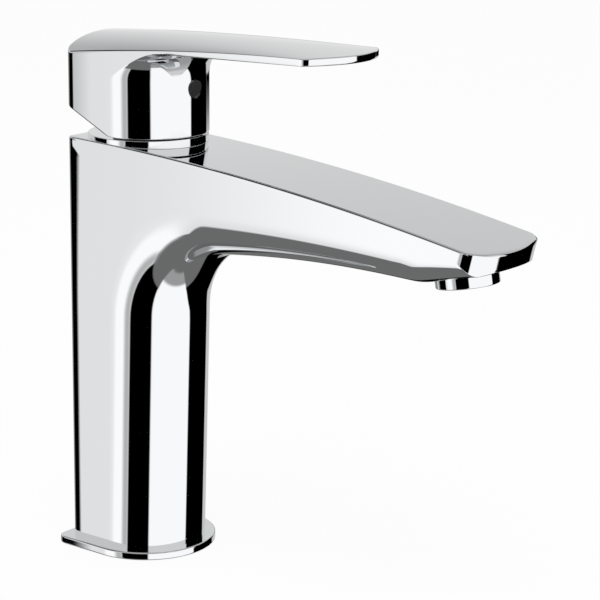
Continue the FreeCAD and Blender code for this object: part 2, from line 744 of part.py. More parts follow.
# Stem: square above its pivot, with a ball below that moves the carrier. It leans with the lever at rest.
STEM_PLACE = ("0", PIVOT, "stem_lean")
ball = bind(doc.addObject("Part::Sphere", "stem_ball"), Radius="ball_radius", Placement__Base__z="-stem_arm")
stem_blank = fuse("stem_blank", [
    box("stem_square", "stem_width", "stem_width", "stem_root + stem_rise", "-stem_root"),
    cylinder("stem_neck_rod", "stem_neck", "stem_arm", "-stem_arm"),
    ball,
])
lever_stem = cut("lever_stem", stem_blank, [
    crosswise("stem_pin_hole", "pin_radius + pin_clearance", "2 * stem_width", "0"),
])
tilted(lever_stem, *STEM_PLACE)

# Lever handle: a hub that flares into a thin paddle, under one crowned top that rises towards the tip.
UNDERSIDE = f"({RIM} + paddle_rise)"
SKY = f"({RIM} + edge_tip_rise + 2 * crown_back)"
handle_form = turned("handle_form", [
    ("0", RIM),
    ("hub_radius", RIM),
    ("hub_radius", UNDERSIDE),
    ("2 * lever_reach", UNDERSIDE),
    ("2 * lever_reach", SKY),
    ("0", SKY),
])


def at_flare(point):
    """Whether a point lies where the hub meets the underside of the paddle."""
    on_hub = abs(math.hypot(point.x, point.y) - size("hub_radius")) < TOLERANCE
    return on_hub and abs(point.z - size(UNDERSIDE)) < TOLERANCE


soften(handle_form, "flare_radius", at_flare)
TIP_BOW = "(lever_tip_radius - sqrt(lever_tip_radius ^ 2 - (lever_tip_width / 2) ^ 2))"
handle_plan = padded("handle_plan", "XY_Plane", [
    ("-body_width / 2", "back_depth"),
    ("-body_width / 2", "taper_start"),
    ("-lever_tip_width / 2", f"{TIP_BOW} - lever_reach"),
    ("lever_tip_width / 2", f"{TIP_BOW} - lever_reach"),
    ("body_width / 2", "taper_start"),
    ("body_width / 2", "back_depth"),
], "2 * body_height", arcs={2: ("lever_tip_radius", RIGHT)})


def at_lever_tip(point):
    """Whether a point lies on one of the two upright edges at the tip of the lever."""
    return abs(abs(point.x) - size("lever_tip_width") / 2) < TOLERANCE


soften(handle_plan, "lever_tip_corner", at_lever_tip)
soften(handle_plan, "back_round", on_back_corner)


def crown_section(share):
    """Section of the crowned top at a share of the way from the back to the tip: a half ellipse on a block."""
    length = size("back_depth + lever_reach")
    y = size("back_depth") - share * length
    taper = max(0.0, (size("taper_start") - y) / size(f"taper_start + lever_reach - {TIP_BOW}"))
    half = size("body_width") / 2 - taper * size("body_width - lever_tip_width") / 2
    reach = half + size("crown_overhang")
    edge = size(RIM) + size("edge_back_rise") + share * size("edge_tip_rise - edge_back_rise")
    edge += 4 * size("edge_bow") * share * (1 - share)
    crown = size("crown_back") - share * size("crown_back - crown_tip")
    level = math.sqrt(1 - (half / reach) ** 2)
    height = crown / (1 - level)
    middle = Vector(0, y, edge - level * height)
    ellipse = Part.Ellipse(middle + Vector(reach, 0, 0), middle + Vector(0, 0, height), middle)
    low = size(RIM) - middle.z
    right = middle + Vector(reach, 0, 0)
    left = middle - Vector(reach, 0, 0)
    return Part.Wire([
        Part.ArcOfEllipse(ellipse, 0, math.pi).toShape(),
        Part.LineSegment(left, left + Vector(0, 0, low)).toShape(),
        Part.LineSegment(left + Vector(0, 0, low), right + Vector(0, 0, low)).toShape(),
        Part.LineSegment(right + Vector(0, 0, low), right).toShape(),
    ])


handle_crown = doc.addObject("Part::Loft", "handle_crown")
CROWN_SHARES = (-0.05, 0.17, 0.4, 0.65, 0.88, 1.05)
crown_sections = []
for number, share in enumerate(CROWN_SHARES, start=1):
    section = doc.addObject("Part::Feature", f"crown_section_{number}")
    section.Shape = crown_section(share)
    crown_sections.append(section)
handle_crown.Sections = crown_sections
handle_crown.Solid = True
relief = group("relief", [
    box("relief_block", "2 * body_width", "2 * body_width", "body_width", "-body_width", "body_width"),
])
tilted(relief, "relief_start", RIM, "relief_angle")
paddle_lift_form = group("paddle_lift_form", [
    box("lift_block", "2 * body_width", "2 * lever_reach", "flare_radius", "-flare_radius", "-lever_reach"),
])
tilted(paddle_lift_form, "-lift_start", UNDERSIDE, "-paddle_lift")
hub_back = box("hub_back", "2 * body_width", "2 * back_depth", f"{SKY} - {RIM}", RIM, "back_depth")
handle_mass = fuse("handle_mass", [handle_form, hub_back])
handle_shell = cut("handle_shell", common("handle_outer", [handle_mass, handle_plan, handle_crown]), [
    cylinder("hub_cavity", "cavity_radius", "handle_gap + cavity_height", RING_TOP),
    relief,
    paddle_lift_form,
])
BOSS_BOTTOM = f"({RIM} - {PIVOT} + cavity_height - boss_drop)"
boss = group("boss", [cylinder("boss_rod", "boss_radius", f"stem_rise - {BOSS_BOTTOM}", BOSS_BOTTOM)])
tilted(boss, *STEM_PLACE)
STEM_FACE = "(stem_width / 2 + press_clearance)"
PLUG_FACE = "((hub_radius - screw_rise * sin(stem_lean)) / cos(stem_lean))"
PLUG_BACK = f"({PLUG_FACE} - plug_length)"
SOCKET = "(stem_width + 2 * stem_clearance)"
handle_holes = fuse("handle_holes", [
    box("stem_socket", SOCKET, SOCKET, "stem_rise + stem_clearance", "0"),
    frontward("screw_hole", "screw_radius + press_clearance", "hub_radius", "0", "screw_rise"),
    frontward("plug_hole", "plug_radius + press_clearance", "hub_radius", PLUG_BACK, "screw_rise"),
])
tilted(handle_holes, *STEM_PLACE)
lever_handle = cut("lever_handle", fuse("handle_solid", [handle_shell, boss]), [handle_holes])

# Set screw with a hexagon socket, and the plug that closes its hole.
screw_key_hole = bind(doc.addObject("Part::Prism", "screw_key_hole"), Circumradius="screw_key * 2 / sqrt(3)",
                      Height="screw_length / 2")
screw_key_hole.Polygon = 6
screw_key_hole.Placement = Placement(Vector(0, -size(f"{STEM_FACE} + screw_length / 2"), size("screw_rise")),
                                     Rotation(Vector(1, 0, 0), 90))
screw_rod = frontward("screw_rod", "screw_radius", "screw_length", STEM_FACE, "screw_rise")
set_screw = cut("set_screw", screw_rod, [screw_key_hole])
tilted(set_screw, *STEM_PLACE)
index_plug = group("index_plug", [
    frontward("plug_rod", "plug_radius", "plug_length", PLUG_BACK, "screw_rise"),
])
tilted(index_plug, *STEM_PLACE)

# Aerator, drawn upright on its lower face and then tilted into the tip: collar, cell insert, strainer, washer.
aerator_collar = turned("aerator_collar", [
    ("collar_bore - lip_width", "0"),
    ("collar_radius - collar_edge", "0"),
    ("collar_radius", "collar_edge"),
    ("collar_radius", "collar_height"),
    ("thread_radius", "collar_height"),
    ("thread_radius", COLLAR_TOP),
    ("collar_bore", COLLAR_TOP),
    ("collar_bore", "collar_lip"),
    ("collar_bore - lip_width", "collar_lip"),
])
INSERT_RADIUS = "(collar_bore - turning_clearance)"
INSERT_TOP = "(collar_lip + insert_height)"
CELLS_IN_ROW = (1, 6, 12)
cells = []
for row, count in enumerate(CELLS_IN_ROW):
    for number in range(count):
        angle = 360 * number / count
        cells.append(cylinder(f"cell_{row}_{number}", "cell_radius", "2 * insert_height", "0",
                              f"{row} * cell_pitch * cos({angle})", f"{row} * cell_pitch * sin({angle})"))
insert_disc = cylinder("insert_disc", INSERT_RADIUS, "insert_height", "collar_lip")
aerator_insert = cut("aerator_insert", insert_disc, cells)
aerator_strainer = turned("aerator_strainer", [
    (f"{INSERT_RADIUS} - 2 * strainer_wall", INSERT_TOP),
    (INSERT_RADIUS, INSERT_TOP),
    (INSERT_RADIUS, f"{INSERT_TOP} + strainer_wall"),
    (f"{INSERT_RADIUS} - strainer_rise", f"{INSERT_TOP} + strainer_rise"),
    ("0", f"{INSERT_TOP} + strainer_rise"),
    ("0", f"{INSERT_TOP} + strainer_rise - strainer_wall"),
    (f"{INSERT_RADIUS} - strainer_rise - strainer_wall", f"{INSERT_TOP} + strainer_rise - strainer_wall"),
])
aerator_washer = ring("aerator_washer", "(thread_radius - running_gap)", "washer_wall", "washer_height",
                      COLLAR_TOP)
for piece in (aerator_collar, aerator_insert, aerator_strainer, aerator_washer):
    tilted(piece, *AERATOR_PLACE)

PIECES = [
    body, base_plate, base_gasket, cap_ring, retaining_nut,
    cartridge_housing, cartridge_o_ring, cartridge_base, inlet_seals, disc_seals, fixed_disc, stop_ring,
    moving_disc, disc_carrier, turret, pivot_pin,
    lever_stem, lever_handle, set_screw, index_plug,
    aerator_collar, aerator_insert, aerator_strainer, aerator_washer,
]
doc.recompute()
failed = [thing.Label for thing in doc.Objects if {"Invalid", "Error"} & set(thing.State)]
failed += [piece.Label for piece in PIECES if piece.Shape.isNull() or not piece.Shape.isValid()]
if failed:
    raise RuntimeError("these did not build: " + ", ".join(failed))
os.makedirs("parts", exist_ok=True)
for piece in PIECES:
    piece.Shape.exportStep(f"parts/{piece.Label}.step")
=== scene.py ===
import math

import bmesh
import bpy
from mathutils import Matrix, Vector


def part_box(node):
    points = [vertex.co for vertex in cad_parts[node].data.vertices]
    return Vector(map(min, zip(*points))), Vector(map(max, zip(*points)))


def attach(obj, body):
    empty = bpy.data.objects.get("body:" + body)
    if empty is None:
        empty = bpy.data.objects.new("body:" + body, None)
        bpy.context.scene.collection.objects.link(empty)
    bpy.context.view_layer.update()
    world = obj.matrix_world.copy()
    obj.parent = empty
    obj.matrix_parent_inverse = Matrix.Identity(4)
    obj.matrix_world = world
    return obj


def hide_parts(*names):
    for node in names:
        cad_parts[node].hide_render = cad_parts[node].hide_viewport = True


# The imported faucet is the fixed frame. Everything below is in metres: the spout points to -Y and +Z is up.
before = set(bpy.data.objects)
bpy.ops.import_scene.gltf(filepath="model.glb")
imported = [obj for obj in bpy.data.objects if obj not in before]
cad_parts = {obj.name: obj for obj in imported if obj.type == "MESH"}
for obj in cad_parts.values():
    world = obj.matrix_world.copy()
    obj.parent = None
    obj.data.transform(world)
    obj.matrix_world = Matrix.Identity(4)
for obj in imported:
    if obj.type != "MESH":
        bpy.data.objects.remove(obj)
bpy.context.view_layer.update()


# Base plate: a thin D-shaped plate of brass, cast, polished and chrome plated like the rest of the outside.
# It lies on the deck round the foot of the body, held by the pull of the fixing stud.
PLATE_LOW, PLATE_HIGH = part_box("base_plate")
PLATE_NOSE_RADIUS = 0.0264
PLATE_BACK_RADIUS = 0.0042
PLATE_EDGE = 0.0006
PLATE_HOLE = 0.01865


def arc(centre, radius, start, end, steps):
    """Points on a flat arc, its angles in degrees."""
    angles = [math.radians(start + (end - start) * step / steps) for step in range(steps + 1)]
    return [(centre[0] + radius * math.cos(angle), centre[1] + radius * math.sin(angle)) for angle in angles]


def join_rows(shape, rows):
    """Faces between closed rows of points that follow each other."""
    for row, following in zip(rows, rows[1:]):
        for near, far in zip(range(len(row)), [*range(1, len(row)), 0]):
            shape.faces.new((row[near], row[far], following[far], following[near]))


def skin(name, rings, close_start=False, close_end=False):
    """A smooth surface over rings that all have the same number of points."""
    mesh = bpy.data.meshes.new(name)
    shape = bmesh.new()
    rows = [[shape.verts.new(point) for point in ring] for ring in rings]
    join_rows(shape, rows)
    if close_start:
        shape.faces.new(rows[0])
    if close_end:
        shape.faces.new(rows[-1])
    bmesh.ops.remove_doubles(shape, verts=shape.verts, dist=2e-6)
    bmesh.ops.dissolve_degenerate(shape, edges=shape.edges, dist=1e-6)
    bmesh.ops.recalc_face_normals(shape, faces=shape.faces)
    for face in shape.faces:
        face.smooth = True
    shape.to_mesh(mesh)
    shape.free()
    piece = bpy.data.objects.new(name, mesh)
    bpy.context.scene.collection.objects.link(piece)
    return piece


def break_edges(piece, width):
    """Give the sharp edges of a polished casting the small round that polishing leaves."""
    rounding = piece.modifiers.new("polished_edges", "BEVEL")
    rounding.width = width
    rounding.segments = 4
    rounding.limit_method = "ANGLE"
    rounding.angle_limit = math.radians(50)
    rounding.harden_normals = True
    return piece


def plate_outline(height, hole=False):
    """The plate's outline at a height, or the round hole that it has for the foot."""
    half = PLATE_HIGH.x
    nose = (half - PLATE_NOSE_RADIUS, PLATE_LOW.y + PLATE_NOSE_RADIUS)
    back = (half - PLATE_BACK_RADIUS, PLATE_HIGH.y - PLATE_BACK_RADIUS)
    right = arc(nose, PLATE_NOSE_RADIUS, -90, 0, 48) + arc(back, PLATE_BACK_RADIUS, 0, 90, 20)
    outline = right + [(-x, y) for x, y in reversed(right)]
    if hole:
        turns = [math.atan2(y, x) for x, y in outline]
        outline = [(PLATE_HOLE * math.cos(turn), PLATE_HOLE * math.sin(turn)) for turn in turns]
    return [(x, y, height) for x, y in outline]


wiped_haze = bpy.data.node_groups.new("wiped_haze", "ShaderNodeTree")
for name, value in (("Scale", 40.0), ("Clear", 0.03), ("Hazed", 0.06)):
    socket = wiped_haze.interface.new_socket(name, in_out="INPUT", socket_type="NodeSocketFloat")
    socket.default_value = value
wiped_haze.interface.new_socket("Roughness", in_out="OUTPUT", socket_type="NodeSocketFloat")
haze_in = wiped_haze.nodes.new("NodeGroupInput")
haze_out = wiped_haze.nodes.new("NodeGroupOutput")
haze_place = wiped_haze.nodes.new("ShaderNodeTexCoord")
haze_clouds = wiped_haze.nodes.new("ShaderNodeTexNoise")
haze_clouds.inputs["Detail"].default_value = 4.0
haze_range = wiped_haze.nodes.new("ShaderNodeMapRange")
haze_range.inputs["From Min"].default_value = 0.4
haze_range.inputs["From Max"].default_value = 0.7
wiped_haze.links.new(haze_place.outputs["Object"], haze_clouds.inputs["Vector"])
wiped_haze.links.new(haze_in.outputs["Scale"], haze_clouds.inputs["Scale"])
wiped_haze.links.new(haze_clouds.outputs["Fac"], haze_range.inputs["Value"])
wiped_haze.links.new(haze_in.outputs["Clear"], haze_range.inputs["To Min"])
wiped_haze.links.new(haze_in.outputs["Hazed"], haze_range.inputs["To Max"])
wiped_haze.links.new(haze_range.outputs["Result"], haze_out.inputs["Roughness"])


def hazed_material(name, colour, metallic, scale, clear, hazed):
    """A material whose gloss varies softly, as a surface that has been wiped or handled."""
    material = bpy.data.materials.new(name)
    material.use_nodes = True
    nodes = material.node_tree.nodes
    shader = nodes["Principled BSDF"]
    shader.inputs["Base Color"].default_value = (*colour, 1)
    shader.inputs["Metallic"].default_value = metallic
    haze = nodes.new("ShaderNodeGroup")
    haze.node_tree = wiped_haze
    haze.inputs["Scale"].default_value = scale
    haze.inputs["Clear"].default_value = clear
    haze.inputs["Hazed"].default_value = hazed
    material.node_tree.links.new(haze.outputs["Roughness"], shader.inputs["Roughness"])
    return material


chrome = hazed_material("bright_chrome", (0.86, 0.87, 0.88), 1.0, 35.0, 0.015, 0.035)
plate_rings = [
    plate_outline(PLATE_LOW.z, hole=True),
    plate_outline(PLATE_LOW.z),
    plate_outline(PLATE_HIGH.z),
    plate_outline(PLATE_HIGH.z, hole=True),
    plate_outline(PLATE_LOW.z, hole=True),
]
plate = break_edges(skin("polished_base_plate", plate_rings), PLATE_EDGE)
plate.data.materials.append(chrome)
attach(plate, "faucet")
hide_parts("base_plate")


# Body: one brass casting, polished and chrome plated. A column with a flat back and a round front bends into
# a long flat spout, whose lower corners get tighter towards the tip. It stands on the plate, and its mouth
# holds the cartridge.
BODY_LOW, BODY_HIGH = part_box("body")
BACK = BODY_HIGH.y
TIP = BODY_LOW.y
BODY_TOP = BODY_HIGH.z
FOOT = PLATE_HIGH.z
SPIGOT_RADIUS = 0.0185
BACK_HALF = BODY_HIGH.x
TIP_HALF = 0.0213
BACK_CORNER = 0.0032
TOP_EDGE = 0.0009
TOP_RADIUS = 1.138
TOP_END = (TIP - 0.003, BODY_TOP - 0.02137)
COLUMN_FRONT = 0.0207
COLUMN_LEAN = math.radians(1.6)
BEND_RADIUS = 0.027
ARCH_RADIUS = 0.490
ARCH_APEX = (TIP + 0.053, BODY_TOP - 0.0343)
CHIN_SLOPE = math.radians(14.8)
CHIN_SWEEP = 0.030
CHIN_TIP = BODY_TOP - 0.0266
NOSE_CORNER = 0.0215
ROOT_CORNER = 0.017
BELLY_CORNER = 0.0113
TIP_CORNER = 0.0041
ROOT_EASE = 1.5
TIP_EASE = 1.35
FRONT_BULGE = 0.045
CHEEK = 0.009
LIP_EDGE = 0.0003
FRONT_UNDERCUT = math.tan(math.radians(14))
CORNER_STEPS = 14
SIDE_STEPS = 8
SIDE_BAND = 0.004
PLAN_STEPS = 10
EDGE_STEPS = 6
COLUMN_RINGS = 24
BACK_RINGS = 14
TOP_RINGS = 30
TOP_CROWDING = 1.3
SPOUT_RINGS = 40
TIP_RINGS = 18
CHEEK_TURNS = range(6, 78, 6)
FRONT_RINGS = 8
BELLY_SHARES = (0.0, 0.15, 0.3, 0.45, 0.6, 0.72, 0.82, 0.9, 0.96)
TOP_SHARES = (0.985, 0.96, 0.93, 0.895, 0.855, 0.81, 0.76, 0.65, 0.52, 0.39, 0.26, 0.13, 0.0)


def body_half(y):
    """Half the width of the body at a place along it, with the round corners of its back."""
    half = BACK_HALF - (BACK_HALF - TIP_HALF) * (BACK - y) / (BACK - TIP)
    past = y - (BACK - BACK_CORNER)
    if past > 0:
        half -= BACK_CORNER - math.sqrt(max(0.0, BACK_CORNER ** 2 - past ** 2))
    return half


def body_top(y):
    """Height of the gently bowed top of the body."""
    span = math.hypot(BACK - TOP_END[0], BODY_TOP - TOP_END[1])
    slope = (BODY_TOP - TOP_END[1]) / (BACK - TOP_END[0])
    middle = ((BACK + TOP_END[0]) / 2, (BODY_TOP + TOP_END[1]) / 2)
    drop = math.sqrt(TOP_RADIUS ** 2 - (span / 2) ** 2)
    level = math.sqrt(1 + slope ** 2)
    centre = (middle[0] + drop * slope / level, middle[1] - drop / level)
    return centre[1] + math.sqrt(TOP_RADIUS ** 2 - (y - centre[0]) ** 2)


upward = Vector((-math.sin(COLUMN_LEAN), math.cos(COLUMN_LEAN)))
forward = Vector((-math.cos(COLUMN_LEAN), -math.sin(COLUMN_LEAN)))
column_foot = Vector((-COLUMN_FRONT, FOOT))
arch_centre = Vector((ARCH_APEX[0], ARCH_APEX[1] - ARCH_RADIUS))
offset = column_foot + forward * BEND_RADIUS - arch_centre
along = offset.dot(upward)
column_rise = -along + math.sqrt(along ** 2 - offset.length_squared + (ARCH_RADIUS - BEND_RADIUS) ** 2)
column_end = column_foot + upward * column_rise
bend_centre = column_end + forward * BEND_RADIUS
spout_root = arch_centre + (bend_centre - arch_centre).normalized() * ARCH_RADIUS
ahead = Vector((-math.cos(CHIN_SLOPE), math.sin(CHIN_SLOPE)))
inward = Vector((math.sin(CHIN_SLOPE), math.cos(CHIN_SLOPE)))
offset = Vector((TIP, CHIN_TIP)) + inward * CHIN_SWEEP - arch_centre
along = offset.dot(ahead)
advance = -along + math.sqrt(along ** 2 - offset.length_squared + (ARCH_RADIUS + CHIN_SWEEP) ** 2)
sweep_centre = arch_centre + offset + ahead * advance
arch_end = arch_centre + (sweep_centre - arch_centre).normalized() * ARCH_RADIUS
chin_start = sweep_centre - inward * CHIN_SWEEP


def spout_under(y):
    """Height of the spout's underside: a shallow arch, then a sweep up to the straight chin of the tip."""
    if y > arch_end.x:
        return arch_centre.y + math.sqrt(ARCH_RADIUS ** 2 - (y - arch_centre.x) ** 2)
    if y > chin_start.x:
        return sweep_centre.y - math.sqrt(CHIN_SWEEP ** 2 - (y - sweep_centre.x) ** 2)
    return CHIN_TIP - (y - TIP) * math.tan(CHIN_SLOPE)


def spout_corner(y):
    """Radius of the spout's lower corners, which tighten towards the tip."""
    if y > arch_end.x:
        share = (spout_root.x - y) / (spout_root.x - arch_end.x)
        return BELLY_CORNER + (ROOT_CORNER - BELLY_CORNER) * (1 - share) ** ROOT_EASE
    share = (arch_end.x - y) / (arch_end.x - TIP)
    return BELLY_CORNER + (TIP_CORNER - BELLY_CORNER) * share ** TIP_EASE


def half_section(inner, outer, corner, edge):
    """Half a ring round the body in a plane across it, from its inner line to its outer line."""
    inner, outer = Vector(inner), Vector(outer)
    across = (outer - inner).normalized()
    depth = (outer - inner).length
    chain = []

    def put(rise, inset, share=1.0):
        point = inner + across * rise
        chain.append(((body_half(point.x) - inset) * share, point.x, point.y))

    for share in BELLY_SHARES:
        put(0.0, corner, share)
    for step in range(CORNER_STEPS + 1):
        turn = math.pi / 2 * step / CORNER_STEPS
        put(corner * (1 - math.cos(turn)), corner * (1 - math.sin(turn)))
    rise_to_edge = depth - edge - corner
    start_y = inner.x + across.x * corner
    bent = outer.x - (BACK - BACK_CORNER)
    if bent > 1e-6:
        share_to_bend = 1 - bent / (outer.x - start_y)
        full_turn = math.asin(min(1.0, bent / BACK_CORNER))
        shares = [1 - (bent - BACK_CORNER * math.sin(full_turn * step / PLAN_STEPS)) / (outer.x - start_y)
                  for step in range(1, PLAN_STEPS + 1)]
    else:
        share_to_bend = 1 - min(0.5, SIDE_BAND / rise_to_edge)
        shares = [share_to_bend + (1 - share_to_bend) * step / PLAN_STEPS
                  for step in range(1, PLAN_STEPS + 1)]
    for step in range(1, SIDE_STEPS + 1):
        put(corner + rise_to_edge * share_to_bend * step / SIDE_STEPS, 0.0)
    for share in shares:
        put(corner + rise_to_edge * share, 0.0)
    for step in range(1, EDGE_STEPS + 1):
        turn = math.pi / 2 * step / EDGE_STEPS
        put(depth - edge * (1 - math.sin(turn)), edge * (1 - math.cos(turn)))
    for share in TOP_SHARES:
        put(depth, edge, share)
    return chain


def mirrored(chain):
    """A whole ring from its right half."""
    return chain + [(-x, y, z) for x, y, z in reversed(chain[1:-1])]


def above(inner, lean):
    """The point of the body's top that a line from an inner point meets, leaning back by a slope."""
    y = inner.x
    for step in range(20):
        y = inner.x + (body_top(y) - inner.y) * lean
    return Vector((y, body_top(y)))


body_rings = []
bend_level = bend_centre.y + (BACK - bend_centre.x) * math.tan(COLUMN_LEAN)
for step in range(COLUMN_RINGS):
    share = step / COLUMN_RINGS
    inner = column_foot + upward * column_rise * share
    outer = (BACK, FOOT + (bend_level - FOOT) * share)
    body_rings.append(mirrored(half_section(inner, outer, NOSE_CORNER, 0.0)))
root_lean = (spout_root.x - arch_centre.x) / (spout_root.y - arch_centre.y)
root_above = above(spout_root, root_lean)
back_reach = BODY_TOP - TOP_EDGE - bend_level
bend_outer = [((BACK, bend_level + back_reach * step / BACK_RINGS), 0.0) for step in range(BACK_RINGS + 1)]
for step in range(1, EDGE_STEPS + 1):
    turn = math.pi / 2 * step / EDGE_STEPS
    y = BACK - TOP_EDGE * (1 - math.cos(turn))
    bend_outer.append(((y, body_top(y) - TOP_EDGE * (1 - math.sin(turn))), TOP_EDGE * math.sin(turn)))
for step in range(1, TOP_RINGS + 1):
    y = BACK - TOP_EDGE + (root_above.x - BACK + TOP_EDGE) * (step / TOP_RINGS) ** TOP_CROWDING
    bend_outer.append(((y, body_top(y)), TOP_EDGE))
start_turn = (column_end - bend_centre).angle_signed(Vector((1, 0)))
end_turn = (spout_root - bend_centre).angle_signed(Vector((1, 0)))
for outer, edge in bend_outer:
    ray = (Vector(outer) - bend_centre).normalized()
    share = (ray.angle_signed(Vector((1, 0))) - start_turn) / (end_turn - start_turn)
    corner = NOSE_CORNER + (ROOT_CORNER - NOSE_CORNER) * share
    body_rings.append(mirrored(half_section(bend_centre + ray * BEND_RADIUS, outer, corner, edge)))
for step in range(1, SPOUT_RINGS + 1):
    y = spout_root.x + (arch_end.x - spout_root.x) * step / SPOUT_RINGS
    inner = Vector((y, spout_under(y)))
    lean = max(0.0, (y - arch_centre.x) / (inner.y - arch_centre.y))
    body_rings.append(mirrored(half_section(inner, above(inner, lean), spout_corner(y), TOP_EDGE)))

cheek_x = body_half(TIP + CHEEK) - CHEEK
cheek_y = FRONT_BULGE - math.sqrt((FRONT_BULGE - CHEEK) ** 2 - cheek_x ** 2)


def front_face(x, z):
    """How far out the front of the tip is: bulged in plan between two round cheeks, and undercut."""
    if abs(x) < cheek_x * FRONT_BULGE / (FRONT_BULGE - CHEEK):
        plan = FRONT_BULGE - math.sqrt(FRONT_BULGE ** 2 - x ** 2)
    else:
        plan = cheek_y - math.sqrt(max(0.0, CHEEK ** 2 - (abs(x) - cheek_x) ** 2))
    return TIP + plan + FRONT_UNDERCUT * (body_top(TIP) - z)


def rim_pulls():
    """For each point of a half section, which way and how far the rounded rim of the front pulls it in."""
    corner = [math.pi / 2 * step / CORNER_STEPS for step in range(CORNER_STEPS + 1)]
    edge = [math.pi / 2 * step / EDGE_STEPS for step in range(1, EDGE_STEPS + 1)]
    pulls = [Vector((0, LIP_EDGE))] * len(BELLY_SHARES)
    pulls += [Vector((-math.sin(turn), math.cos(turn))) * LIP_EDGE * math.cos(turn) for turn in corner]
    pulls += [Vector((0, 0))] * (SIDE_STEPS + PLAN_STEPS)
    pulls += [Vector((-math.cos(turn), -math.sin(turn))) * TOP_EDGE * math.sin(turn) for turn in edge]
    return pulls + [Vector((0, -TOP_EDGE))] * len(TOP_SHARES)


def tip_point(index, pull, share, turn):
    """A point of the tip: part of the way from the arch to the front's rim, or round the rim by a turn."""
    y = TIP
    for step in range(12):
        x, y, z = half_section((y, spout_under(y)), (y, body_top(y)), spout_corner(y), TOP_EDGE)[index]
        rim = front_face(x + pull.x, z + pull.y) + pull.length * (1 - math.sin(turn))
        y = arch_end.x + (rim - arch_end.x) * share
    bent = pull * (1 - math.cos(turn))
    return (x + bent.x, y, z + bent.y)


pulls = rim_pulls()
for share in (step / TIP_RINGS for step in range(1, TIP_RINGS)):
    body_rings.append(mirrored([tip_point(index, pull, share, 0.0) for index, pull in enumerate(pulls)]))
for turn in (math.pi / 2 * step / EDGE_STEPS for step in range(EDGE_STEPS + 1)):
    body_rings.append(mirrored([tip_point(index, pull, 1.0, turn) for index, pull in enumerate(pulls)]))
front_rim = body_rings[-1]
front_middle = (body_top(TIP) + spout_under(TIP)) / 2
cheek_spots = [cheek_x + CHEEK * math.cos(math.radians(turn)) for turn in CHEEK_TURNS]
front_shares = [spot / (cheek_x + CHEEK) for spot in cheek_spots]
front_shares += [front_shares[-1] * (1 - step / FRONT_RINGS) for step in range(1, FRONT_RINGS)]
for share in front_shares:
    ring = [(x * share, front_middle + (z - front_middle) * share) for x, y, z in front_rim]
    body_rings.append([(x, front_face(x, z), z) for x, z in ring])
foot_ring = []
for x, y, z in body_rings[0]:
    spread = SPIGOT_RADIUS / math.hypot(x, y)
    foot_ring.append((x * spread, y * spread, z))
body_rings = [[(x, y, BODY_LOW.z) for x, y, z in foot_ring], foot_ring] + body_rings


def turned_rows(profile, place, steps):
    """Rows of points round an axis, one for each corner of a profile given as (radius, height)."""
    turns = [2 * math.pi * step / steps for step in range(steps)]
    return [
        [place @ Vector((radius * math.cos(turn), radius * math.sin(turn), height)) for turn in turns]
        for radius, height in profile
    ]


def turned(name, profile, place=Matrix(), steps=96):
    """A turned piece from its profile, closed at both ends."""
    return skin(name, turned_rows(profile, place, steps), close_start=True, close_end=True)


def hollow(piece, tools):
    """Cut the shapes of some tools out of a piece, and put the tools away."""
    for tool in tools:
        boring = piece.modifiers.new("bore", "BOOLEAN")
        boring.object = tool
        boring.solver = "EXACT"
    view = bpy.context.evaluated_depsgraph_get()
    bored = bpy.data.meshes.new_from_object(piece.evaluated_get(view))
    bored.set_sharp_from_angle(angle=math.radians(35))
    piece.modifiers.clear()
    piece.data = bored
    for tool in tools:
        bpy.data.objects.remove(tool)
    return piece


MOUTH = BODY_TOP - 0.0066
MOUTH_RADIUS = 0.01945
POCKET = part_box("inlet_seals")[0].z
POCKET_RADIUS = 0.01765
INLET_SPACING = 0.015
INLET_ADVANCE = 0.004
INLET_RADIUS = 0.00446
INLET_DEPTH = 0.014
STUD_SETBACK = 0.010
STUD_RADIUS = 0.00335
STUD_DEPTH = 0.018
BELOW = -0.002
BORE_STEPS = 48
AERATOR_SPOT = Vector((0, TIP + 0.0203, BODY_TOP - 0.03591))
AERATOR_PLACE = Matrix.Translation(AERATOR_SPOT) @ Matrix.Rotation(math.radians(-9.5), 4, "X")
SEAT_CLEARANCE = 0.00015
COLLAR_RADIUS = 0.0114
COLLAR_HEIGHT = 0.0060
COLLAR_THREAD = 0.0099
COLLAR_TOP = 0.0096
WASHER_HEIGHT = 0.0012
mouth_profile = [
    (POCKET_RADIUS, POCKET), (POCKET_RADIUS, MOUTH), (MOUTH_RADIUS, MOUTH), (MOUTH_RADIUS, 2 * BODY_TOP),
]
stud_place = Matrix.Translation((0, STUD_SETBACK, 0))
body_tools = [
    turned("mouth", mouth_profile),
    turned("stud_hole", [(STUD_RADIUS, BELOW), (STUD_RADIUS, STUD_DEPTH)], stud_place, BORE_STEPS),
    turned("aerator_seat", [
        (COLLAR_RADIUS + SEAT_CLEARANCE, 0.0),
        (COLLAR_RADIUS + SEAT_CLEARANCE, COLLAR_HEIGHT),
        (COLLAR_THREAD + SEAT_CLEARANCE, COLLAR_HEIGHT),
        (COLLAR_THREAD + SEAT_CLEARANCE, COLLAR_TOP + WASHER_HEIGHT),
    ], AERATOR_PLACE),
]
for side in (-1, 1):
    inlet_place = Matrix.Translation((side * INLET_SPACING / 2, -INLET_ADVANCE, 0))
    inlet_profile = [(INLET_RADIUS, BELOW), (INLET_RADIUS, INLET_DEPTH)]
    body_tools.append(turned("inlet_hole", inlet_profile, inlet_place, BORE_STEPS))
casting = hollow(skin("polished_body", body_rings, close_start=True, close_end=True), body_tools)
casting.data.materials.append(chrome)
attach(casting, "faucet")
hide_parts("body")


